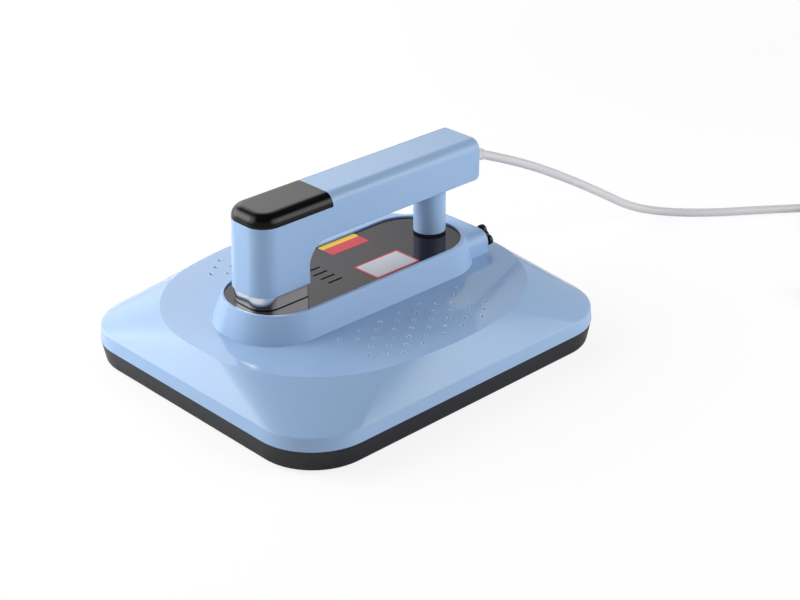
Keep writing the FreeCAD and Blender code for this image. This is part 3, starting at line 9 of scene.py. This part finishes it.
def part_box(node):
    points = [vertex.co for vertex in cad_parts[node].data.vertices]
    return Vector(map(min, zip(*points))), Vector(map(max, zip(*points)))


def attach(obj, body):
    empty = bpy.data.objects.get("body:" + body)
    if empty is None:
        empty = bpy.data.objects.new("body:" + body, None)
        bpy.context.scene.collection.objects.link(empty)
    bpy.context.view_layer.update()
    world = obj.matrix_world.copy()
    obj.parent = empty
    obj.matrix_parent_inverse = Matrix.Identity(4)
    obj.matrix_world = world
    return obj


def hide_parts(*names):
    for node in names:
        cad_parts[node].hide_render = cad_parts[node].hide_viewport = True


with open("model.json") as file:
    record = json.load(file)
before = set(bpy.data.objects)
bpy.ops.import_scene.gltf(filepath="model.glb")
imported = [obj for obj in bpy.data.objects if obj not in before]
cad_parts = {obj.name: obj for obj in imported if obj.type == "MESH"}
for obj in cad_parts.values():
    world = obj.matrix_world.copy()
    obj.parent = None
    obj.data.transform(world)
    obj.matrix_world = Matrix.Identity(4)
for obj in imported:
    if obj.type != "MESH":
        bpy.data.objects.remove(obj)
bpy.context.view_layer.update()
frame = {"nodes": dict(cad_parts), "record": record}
nodes = frame["nodes"]
scene = bpy.context.scene
scene.view_settings.view_transform = "Standard"

MM = 0.001


# ---------------------------------------------------------------- camera

VIEW_PLACE = (-0.89117, -1.00553, 0.72838)
VIEW_AZIMUTH, VIEW_PITCH, VIEW_ROLL = -43.4803, -27.0303, 0.249
VIEW_LENS, SENSOR_WIDTH = 78.137, 36


def make_camera():
    """The viewpoint: position, and the axes given by azimuth, pitch and a slight roll in degrees."""
    azimuth, pitch, roll = (math.radians(a) for a in (VIEW_AZIMUTH, VIEW_PITCH, VIEW_ROLL))
    forward = Vector((
        -math.sin(azimuth) * math.cos(pitch),
        math.cos(azimuth) * math.cos(pitch),
        math.sin(pitch),
    ))
    level = forward.cross(Vector((0, 0, 1))).normalized()
    above = level.cross(forward)
    right = level * math.cos(roll) - above * math.sin(roll)
    up = right.cross(forward)
    data = bpy.data.cameras.new("view")
    data.lens, data.sensor_width = VIEW_LENS, SENSOR_WIDTH
    data.clip_start, data.clip_end = 0.05, 20
    camera = bpy.data.objects.new("view", data)
    turn = Matrix((right, up, -forward)).transposed().to_4x4()
    camera.matrix_world = Matrix.Translation(VIEW_PLACE) @ turn
    scene.collection.objects.link(camera)
    scene.camera = camera


# ---------------------------------------------------------------- node helpers

def add_node(tree, kind, **values):
    """A new shader node: each value sets the input of that name, or else the node's own setting."""
    made = tree.nodes.new("ShaderNode" + kind)
    for name, value in values.items():
        socket = name.replace("_", " ")
        if socket in made.inputs:
            made.inputs[socket].default_value = value
        else:
            setattr(made, name, value)
    return made


class Shader:
    """A material with a Principled surface and short calls for its procedural detail."""

    def __init__(self, name, colour, roughness, metallic=0.0, **sockets):
        self.material = bpy.data.materials.new(name)
        self.material.use_nodes = True
        self.tree = self.material.node_tree
        self.surface = self.tree.nodes["Principled BSDF"]
        self.surface.inputs["Base Color"].default_value = (*colour, 1)
        self.surface.inputs["Roughness"].default_value = roughness
        self.surface.inputs["Metallic"].default_value = metallic
        for socket, value in sockets.items():
            self.surface.inputs[socket.replace("_", " ")].default_value = value
        self.place = self.node("TexCoord").outputs["Object"]
        self.normal = None

    def node(self, kind, **values):
        return add_node(self.tree, kind, **values)

    def link(self, output, socket):
        self.tree.links.new(output, socket)

    def noise(self, scale, detail=2.0, stretch=(1, 1, 1), roughness=0.5):
        """Noise over the object, scale in features per metre, stretched along an axis if asked."""
        place = self.node("Mapping", Scale=stretch)
        self.link(self.place, place.inputs["Vector"])
        made = self.node("TexNoise", Scale=scale, Detail=detail, Roughness=roughness)
        self.link(place.outputs["Vector"], made.inputs["Vector"])
        return made.outputs["Fac"]

    def bump(self, height, distance, strength=1.0):
        """Adds relief of the given depth in metres on top of what is there."""
        made = self.node("Bump", Distance=distance, Strength=strength)
        self.link(height, made.inputs["Height"])
        if self.normal is not None:
            self.link(self.normal, made.inputs["Normal"])
        self.normal = made.outputs["Normal"]
        self.link(self.normal, self.surface.inputs["Normal"])

    def spread(self, factor, socket, low, high):
        """Drives a number socket between low and high."""
        made = self.node("MapRange", To_Min=low, To_Max=high)
        self.link(factor, made.inputs["Value"])
        self.link(made.outputs["Result"], self.surface.inputs[socket])

    def tint(self, factor, low, high):
        """Drives the base colour from one colour to another."""
        ramp = self.node("ValToRGB")
        for stop, position, colour in zip(ramp.color_ramp.elements, (0.3, 0.7), (low, high)):
            stop.position, stop.color = position, (*colour, 1)
        self.link(factor, ramp.inputs["Fac"])
        self.link(ramp.outputs["Color"], self.surface.inputs["Base Color"])


def linear(red, green, blue):
    """A colour written as 0 to 255 values on screen, as the shader's own numbers."""
    def convert(value):
        value /= 255
        return value / 12.92 if value <= 0.04045 else ((value + 0.055) / 1.055) ** 2.4
    return tuple(convert(value) for value in (red, green, blue))


def shade(colour, factor):
    return tuple(value * factor for value in colour)


# ---------------------------------------------------------------- materials

def plastic(name, colour, roughness, spread=0.04, grain=0.0, **sockets):
    """Moulded plastic: faint mottling, slow gloss changes, moulding waviness and optional grain."""
    made = Shader(name, colour, roughness, **sockets)
    made.tint(made.noise(9, 3), shade(colour, 0.985), shade(colour, 1.015))
    made.spread(made.noise(26, 4), "Roughness", roughness - spread / 2, roughness + spread / 2)
    made.bump(made.noise(60, 1), 0.00002, 0.5)
    if grain:
        made.bump(made.noise(2600, 2, roughness=0.7), grain)
    return made.material


def metal(name, colour, roughness, stretch=(1, 1, 1), scale=900, depth=0.00002, spread=0.08):
    """Drawn, turned or rolled metal: scratches along one direction and dull patches."""
    made = Shader(name, colour, roughness, metallic=1.0)
    lines = made.noise(scale, 3, stretch)
    made.tint(made.noise(40, 4), shade(colour, 0.94), shade(colour, 1.04))
    made.spread(lines, "Roughness", roughness - spread / 2, roughness + spread / 2)
    made.bump(lines, depth, 0.6)
    return made.material


def woven(name, colour):
    """Needled fibre mat: long soft fibres over finer ones."""
    made = Shader(name, colour, 0.95)
    made.tint(made.noise(140, 6), shade(colour, 0.8), shade(colour, 1.05))
    made.bump(made.noise(320, 6, (1, 3, 1)), 0.0006)
    made.bump(made.noise(1800, 4, (3, 1, 1)), 0.0002)
    return made.material


def board():
    """Solder mask over copper tracks that run in both directions."""
    made = Shader("board_green", linear(20, 84, 50), 0.35)
    tracks = made.node(
        "TexBrick", Scale=160.0, Color1=(*linear(16, 76, 44), 1),
        Color2=(*linear(24, 96, 58), 1), Mortar=(*linear(10, 54, 32), 1),
    )
    made.link(made.place, tracks.inputs["Vector"])
    made.link(tracks.outputs["Color"], made.surface.inputs["Base Color"])
    made.bump(tracks.outputs["Fac"], 0.00003)
    return made.material


def brushed_collar(foot):
    """Brushed collar: fine upright grain, and painted shadow, near black, at its foot where it stands
    on the deck.
    """
    bright, dark = (0.7, 0.7, 0.72), (0.01, 0.01, 0.011)
    made = Shader("collar_chrome", bright, 0.14, metallic=1.0)
    grain = made.noise(2400, 3, (1, 1, 0.06))
    made.spread(grain, "Roughness", 0.1, 0.22)
    made.bump(grain, 0.000002, 0.5)
    # Painted shadow: the colour turns near black in the lowest millimetre of the collar, in place of
    # the shade where it meets the deck.
    height = made.node("SeparateXYZ")
    made.link(made.place, height.inputs["Vector"])
    painted_shadow_band = made.node("MapRange", From_Min=foot + 0.6 * MM, From_Max=foot + 0.9 * MM)
    made.link(height.outputs["Z"], painted_shadow_band.inputs["Value"])
    made.tint(painted_shadow_band.outputs["Result"], dark, bright)
    return made.material


def film(name, colour, roughness=0.3):
    """The printed film of a sticker."""
    return plastic(name, colour, roughness, 0.08, 0.00001, Specular_IOR_Level=0.2)


BLUE = linear(163, 194, 232)
# Painted highlight: a lighter blue than the shell for the vent lips, standing in for the bright
# crescents of light round the vents.
LIP_BLUE_PAINTED_HIGHLIGHT = linear(196, 218, 242)
GREY_CORD = linear(216, 214, 218)
STEEL = linear(176, 178, 182)


def make_materials():
    """One finish for each material slot of the record."""
    return {
        "shell_blue": plastic("shell_blue", BLUE, 0.075, 0.02, Specular_IOR_Level=0.26),
        "skirt_plastic": plastic(
            "skirt_plastic", linear(33, 34, 40), 0.42, 0.06, 0.00002, Specular_IOR_Level=0.4),
        "deck_panel": plastic("deck_panel", linear(30, 22, 31), 0.03, 0.02, Specular_IOR_Level=0.18),
        "cap_black": plastic("cap_black", linear(8, 7, 8), 0.1, 0.03, Specular_IOR_Level=0.2),
        "collar_chrome": brushed_collar(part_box("deck_plate")[1].z),
        "plate_metal": metal("plate_metal", linear(150, 150, 152), 0.38, (1, 40, 1), 300),
        "element_sheath": metal("element_sheath", linear(120, 116, 112), 0.45),
        "blanket_fibre": woven("blanket_fibre", linear(224, 219, 205)),
        "sheet_steel": metal("sheet_steel", STEEL, 0.34, (1, 30, 30), 260),
        "screw_steel": metal("screw_steel", STEEL, 0.3, (1, 1, 12), 1500),
        "ceramic_white": plastic("ceramic_white", linear(228, 226, 218), 0.3),
        "board_green": board(),
        "component_black": plastic("component_black", linear(34, 34, 35), 0.5, 0.08, 0.00002),
        "component_blue": plastic("component_blue", linear(40, 78, 150), 0.4),
        "component_tin": metal("component_tin", linear(186, 187, 190), 0.28, (1, 1, 30), 900),
        "wire_red": plastic("wire_red", linear(168, 34, 28), 0.5, 0.08, 0.00003),
        "knob_black": plastic(
            "knob_black", linear(9, 9, 10), 0.22, 0.05, 0.00001, Specular_IOR_Level=0.3),
        "insert_brass": metal("insert_brass", linear(212, 178, 104), 0.26, (20, 1, 1), 900),
        "pad_rubber": plastic(
            "pad_rubber", linear(17, 17, 18), 0.7, 0.1, 0.00004, Specular_IOR_Level=0.25),
        "cord_grey": plastic("cord_grey", GREY_CORD, 0.34, 0.06, 0.00001),
    }


COVER_BEND, OTHER_BEND = 14, 22


def crisp(node, angle):
    """Keeps every bend sharper than the angle in degrees as an edge, and shades the rest smoothly."""
    split = node.modifiers.new("edges", "EDGE_SPLIT")
    split.split_angle, split.use_edge_sharp = math.radians(angle), False
    node.modifiers.new("faces", "WEIGHTED_NORMAL").keep_sharp = True


def dress_nodes(finishes):
    """Gives every CAD node the finish that the record names for it."""
    for entry in frame["record"]["subparts"]:
        node = nodes[entry["node"]]
        node.data.materials.clear()
        node.data.materials.append(finishes[entry["material_slot"]])
        crisp(node, COVER_BEND if entry["node"] == "top_cover" else OTHER_BEND)


# ---------------------------------------------------------------- small pieces

def mesh_piece(name, build, material):
    """A mesh object filled by build(bmesh), riding on the press."""
    work = bmesh.new()
    build(work)
    data = bpy.data.meshes.new(name)
    work.to_mesh(data)
    work.free()
    piece = bpy.data.objects.new(name, data)
    scene.collection.objects.link(piece)
    data.materials.append(material)
    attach(piece, "press")


def rounded_corners(x0, x1, y0, y1, radius, steps=6):
    """Corner points of a rounded rectangle, anticlockwise."""
    points = []
    hubs = ((x1 - radius, y1 - radius, 0), (x0 + radius, y1 - radius, 90),
            (x0 + radius, y0 + radius, 180), (x1 - radius, y0 + radius, 270))
    for x, y, first in hubs:
        for i in range(steps + 1):
            angle = math.radians(first + 90 * i / steps)
            points.append((x + radius * math.cos(angle), y + radius * math.sin(angle)))
    return points


def label(name, outline, base, thickness, material):
    """A thin film with a slightly lower bevelled edge."""
    bevel = 0.00012

    def build(work):
        middle_x = sum(p[0] for p in outline) / len(outline)
        middle_y = sum(p[1] for p in outline) / len(outline)
        rings = []
        for inset, height in ((0.0, 0.0), (0.0, thickness * 0.6), (bevel, thickness)):
            ring = []
            for x, y in outline:
                away = Vector((x - middle_x, y - middle_y))
                spot = away * (1 - inset / max(away.length, 1e-6))
                ring.append(work.verts.new((middle_x + spot.x, middle_y + spot.y, base + height)))
            rings.append(ring)
        count = len(outline)
        for low, high in zip(rings, rings[1:]):
            for i in range(count):
                j = (i + 1) % count
                work.faces.new((low[i], low[j], high[j], high[i]))
        work.faces.new(rings[-1])
        work.faces.new(list(reversed(rings[0])))
    mesh_piece(name, build, material)


def deck_labels():
    """Two plain stickers on the deck, with nothing on them."""
    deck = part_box("deck_plate")[1].z
    thickness = 0.00012
    yellow = film("film_yellow", linear(246, 205, 50))
    red = film("film_red", linear(212, 46, 58))
    white = film("film_white", linear(212, 214, 221), 0.34)
    for name, sides, corner, base, depth, material in (
        ("label_red", (2.5, 45.5, 21.4, 34.9), 1.2, deck, thickness, red),
        ("label_yellow", (2.5, 45.5, 34.9, 41.8), 1.2, deck, thickness, yellow),
        ("label_border", (-1, 49.7, -39.3, -9.2), 1.5, deck, thickness, red),
        ("label_white", (0.9, 47.8, -37.5, -11), 1, deck + thickness, thickness * 0.5, white),
    ):
        outline = rounded_corners(*(side * MM for side in sides), corner * MM)
        label(name, outline, base, depth, material)


VENT_LEVEL = 0.0563
VENT_MIDDLE_X, VENT_FIRST_Y = -0.0015, 0.0672
VENT_PITCH_X, VENT_PITCH_Y = 0.02273, 0.01728
VENT_COLUMNS = 13
ROW_STARTS = (0, 1, 2, 1, 0, 1, 2)
LIP_PROFILE = ((2.35, 0.0), (2.2, 0.2), (1.95, 0.32), (1.65, 0.24), (1.3, -0.1), (1.1, -0.5))
LIP_STEPS = 16


def vent_places():
    """Middles of the vents: staggered rows, the same on both sides of the housing."""
    for row, first in enumerate(ROW_STARTS):
        for column in range(first, VENT_COLUMNS - first, 2):
            x = VENT_MIDDLE_X + VENT_PITCH_X * (column - 6) / 2
            for side in (1, -1):
                yield x, side * (VENT_FIRST_Y + VENT_PITCH_Y * row / 2)


def vent_lips(material):
    """The small dished lip round each vent of the roof, its profile in millimetres."""
    profile = [(radius * MM, rise * MM) for radius, rise in LIP_PROFILE]

    def build(work):
        for x, y in vent_places():
            rings = [[
                work.verts.new((
                    x + radius * math.cos(math.tau * i / LIP_STEPS),
                    y + radius * math.sin(math.tau * i / LIP_STEPS), VENT_LEVEL + rise,
                )) for i in range(LIP_STEPS)
            ] for radius, rise in profile]
            for outer, inner in zip(rings, rings[1:]):
                for i in range(LIP_STEPS):
                    j = (i + 1) % LIP_STEPS
                    face = work.faces.new((outer[i], outer[j], inner[j], inner[i]))
                    face.smooth = True
    mesh_piece("vent_lips", build, material)


# ---------------------------------------------------------------- cord

ROUTE = [
    (0.1661, 0.0, 0.1323),
    (0.1900, 0.0, 0.1221),
    (0.2360, 0.0, 0.1006),
    (0.2887, 0.0, 0.0714),
    (0.3400, 0.0, 0.0408),
    (0.3840, -0.001, 0.0130),
    (0.4160, -0.022, 0.0042),
    (0.4480, -0.0545, 0.0042),
    (0.4840, -0.0805, 0.0042),
    (0.5215, -0.1095, 0.0042),
]
TAIL = [
    (0.4930, -0.2277, 0.0110),
    (0.4700, -0.2292, 0.0092),
    (0.4410, -0.2415, 0.0086),
    (0.4170, -0.2430, 0.0110),
]
COIL = (0.528, -0.180)
COIL_TURNS, COIL_START = 4.397, 53.0
POINTS_PER_TURN = 16
LANES = ((51.9, 4.2), (43.5, 4.2), (35.1, 4.2), (39.3, 11.6), (47.7, 11.6), (47.7, 11.6))
LANE_CHANGE = 0.72


def coil_points():
    """Turns of the put-away length: each lane is a radius and a height in millimetres.

    Three lanes lie on the floor and the rest above them. The cord moves over to the next lane in
    the last stretch of each turn.
    """
    points = []
    for i in range(int(COIL_TURNS * POINTS_PER_TURN) + 1):
        lane, share = divmod(i, POINTS_PER_TURN)
        ease = min(1.0, max(0.0, (share / POINTS_PER_TURN - LANE_CHANGE) / (1 - LANE_CHANGE)))
        ease = ease * ease * (3 - 2 * ease)
        radius = LANES[lane][0] + (LANES[lane + 1][0] - LANES[lane][0]) * ease
        height = LANES[lane][1] + (LANES[lane + 1][1] - LANES[lane][1]) * ease
        angle = math.radians(COIL_START - 360 * i / POINTS_PER_TURN)
        radius *= MM / math.cos(math.pi / POINTS_PER_TURN)
        points.append((
            COIL[0] + radius * math.cos(angle), COIL[1] + radius * math.sin(angle), height * MM,
        ))
    return points


def make_cord(material):
    """The whole cord as one smooth curve, in place of its three CAD nodes."""
    points = ROUTE + coil_points() + TAIL
    data = bpy.data.curves.new("supply_cord", "CURVE")
    data.dimensions = "3D"
    data.bevel_depth, data.bevel_resolution, data.resolution_u = 0.0042, 6, 10
    data.use_fill_caps = True
    line = data.splines.new("NURBS")
    line.points.add(len(points) - 1)
    for point, place in zip(line.points, points):
        point.co = (*place, 1)
    line.order_u, line.use_endpoint_u = 3, True
    data.materials.append(material)
    cord = bpy.data.objects.new("supply_cord", data)
    scene.collection.objects.link(cord)
    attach(cord, "press")
    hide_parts("cord", "cord_end", "cord_coil")


# ---------------------------------------------------------------- studio

def make_floor():
    """A pale floor that keeps the object's shadow, and turns wholly white further away."""
    bpy.ops.mesh.primitive_plane_add(size=12, location=(0, 0, -0.0002))
    floor = bpy.context.object
    floor.name = "floor"
    material = bpy.data.materials.new("floor")
    material.use_nodes = True
    tree = material.node_tree
    tree.nodes.clear()
    link = tree.links.new
    place = add_node(tree, "TexCoord")
    away = add_node(tree, "VectorMath", operation="LENGTH")
    link(place.outputs["Object"], away.inputs[0])
    level = add_node(
        tree, "MapRange", interpolation_type="SMOOTHSTEP",
        From_Min=0.7, From_Max=1.8, To_Min=0.8, To_Max=1.0,
    )
    link(away.outputs["Value"], level.inputs["Value"])
    path = add_node(tree, "LightPath")
    share = add_node(tree, "Math", operation="MULTIPLY")
    link(path.outputs["Is Camera Ray"], share.inputs[0])
    link(level.outputs["Result"], share.inputs[1])
    paint = add_node(tree, "BsdfDiffuse", Color=(0.93, 0.93, 0.93, 1))
    glow = add_node(tree, "Emission", Strength=1.05)
    mix = add_node(tree, "MixShader")
    link(share.outputs["Value"], mix.inputs["Fac"])
    link(paint.outputs["BSDF"], mix.inputs[1])
    link(glow.outputs["Emission"], mix.inputs[2])
    link(mix.outputs["Shader"], add_node(tree, "OutputMaterial").inputs["Surface"])
    floor.data.materials.append(material)


def make_world():
    """White to the camera, a pale wall under a dark ceiling to reflections, and dark to the rest."""
    world = bpy.data.worlds.new("studio")
    scene.world = world
    world.use_nodes = True
    tree = world.node_tree
    tree.nodes.clear()
    link = tree.links.new
    coordinates = add_node(tree, "TexCoord")
    split = add_node(tree, "SeparateXYZ")
    link(coordinates.outputs["Generated"], split.inputs["Vector"])
    ramp = add_node(tree, "ValToRGB")
    stops = ramp.color_ramp.elements
    stops[0].position, stops[0].color = 0.0, (0.6, 0.6, 0.6, 1)
    stops[1].position, stops[1].color = 1.0, (0.12, 0.12, 0.125, 1)
    for position, level in ((0.5, 0.5), (0.65, 0.17)):
        stops.new(position).color = (level, level, level, 1)
    link(split.outputs["Z"], ramp.inputs["Fac"])
    room = add_node(tree, "Background")
    link(ramp.outputs["Color"], room.inputs["Color"])
    dark = add_node(tree, "Background", Strength=0.0)
    white = add_node(tree, "Background", Color=(1, 1, 1, 1))
    path = add_node(tree, "LightPath")
    unseen = add_node(tree, "MixShader")
    link(path.outputs["Is Glossy Ray"], unseen.inputs["Fac"])
    link(dark.outputs["Background"], unseen.inputs[1])
    link(room.outputs["Background"], unseen.inputs[2])
    seen = add_node(tree, "MixShader")
    link(path.outputs["Is Camera Ray"], seen.inputs["Fac"])
    link(unseen.outputs["Shader"], seen.inputs[1])
    link(white.outputs["Background"], seen.inputs[2])
    link(seen.outputs["Shader"], add_node(tree, "OutputWorld").inputs["Surface"])


SOFTBOX_SIDE, SOFTBOX_DISTANCE = 1.75, 1.5
SOFTBOXES = (
    (120, 20, 45), (150, 30, 25), (135, 40, 20),
    (290, 30, 30), (320, 20, 25), (60, 40, 15), (80, 20, 10),
)


def make_softbox(azimuth, height, watts):
    """A square softbox, brightest in its middle and fading out to its edges; angles in degrees."""
    data = bpy.data.lights.new("softbox", "AREA")
    data.shape, data.size, data.energy = "SQUARE", SOFTBOX_SIDE, watts
    data.use_nodes = True
    tree = data.node_tree
    link = tree.links.new
    glow = next(node for node in tree.nodes if node.type == "EMISSION")
    place = add_node(tree, "NewGeometry")
    centred = add_node(tree, "VectorMath", operation="SUBTRACT")
    centred.inputs[1].default_value = (0.5, 0.5, 0)
    away = add_node(tree, "VectorMath", operation="LENGTH")
    fade = add_node(
        tree, "MapRange", interpolation_type="SMOOTHSTEP",
        From_Min=0.1, From_Max=0.5, To_Min=1.0, To_Max=0.0,
    )
    link(place.outputs["Parametric"], centred.inputs[0])
    link(centred.outputs["Vector"], away.inputs[0])
    link(away.outputs["Value"], fade.inputs["Value"])
    link(fade.outputs["Result"], glow.inputs["Strength"])
    turn, lift = math.radians(azimuth), math.radians(height)
    lamp = bpy.data.objects.new("softbox", data)
    lamp.location = SOFTBOX_DISTANCE * Vector((
        math.cos(lift) * math.cos(turn), math.cos(lift) * math.sin(turn), math.sin(lift),
    ))
    aim = Vector((0, 0, 0.05)) - lamp.location
    lamp.rotation_euler = aim.to_track_quat("-Z", "Y").to_euler()
    lamp.visible_camera = False
    scene.collection.objects.link(lamp)


make_camera()
make_floor()
make_world()
for softbox in SOFTBOXES:
    make_softbox(*softbox)

finishes = make_materials()
dress_nodes(finishes)
deck_labels()
# The vent lips take the lighter blue as painted highlight.
vent_lips(plastic("vent_lip", LIP_BLUE_PAINTED_HIGHLIGHT, 0.1, 0.03, Specular_IOR_Level=0.5))
make_cord(finishes["cord_grey"])
